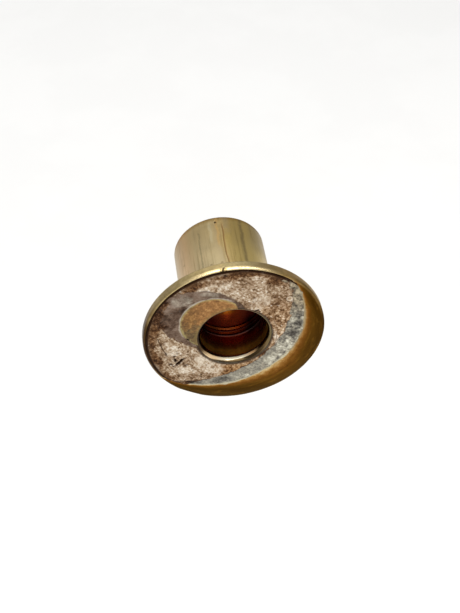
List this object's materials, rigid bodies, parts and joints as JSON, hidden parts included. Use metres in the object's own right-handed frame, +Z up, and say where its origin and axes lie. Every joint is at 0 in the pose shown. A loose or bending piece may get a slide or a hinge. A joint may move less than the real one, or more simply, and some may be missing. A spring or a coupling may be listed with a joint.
{
  "type": "thru hull fitting",
  "caption": "Flanged brass thru hull fitting with a smooth barrel and straight waterway; worn paint on its outboard face.",
  "frame": {"origin": "centre of the seating face, the back of the flange that bears on the hull", "axes": "+Y inboard along the barrel, +Z up, so the flange's outboard face looks along -Y"},
  "size_m": [0.0508, 0.0362, 0.0508],
  "materials": {
    "brass": "worn bare yellow brass, rubbed to a dull shine, brown in the waterway and on the worn side of the face",
    "primer": "grey primer, chalky, scratched and thin",
    "topcoat": "tan bottom paint, chalky, flaking and stained brown"
  },
  "bodies": {
    "root": {"fitting_body": "brass", "primer_coat": "primer", "topcoat": "topcoat"}
  },
  "joints": []
}
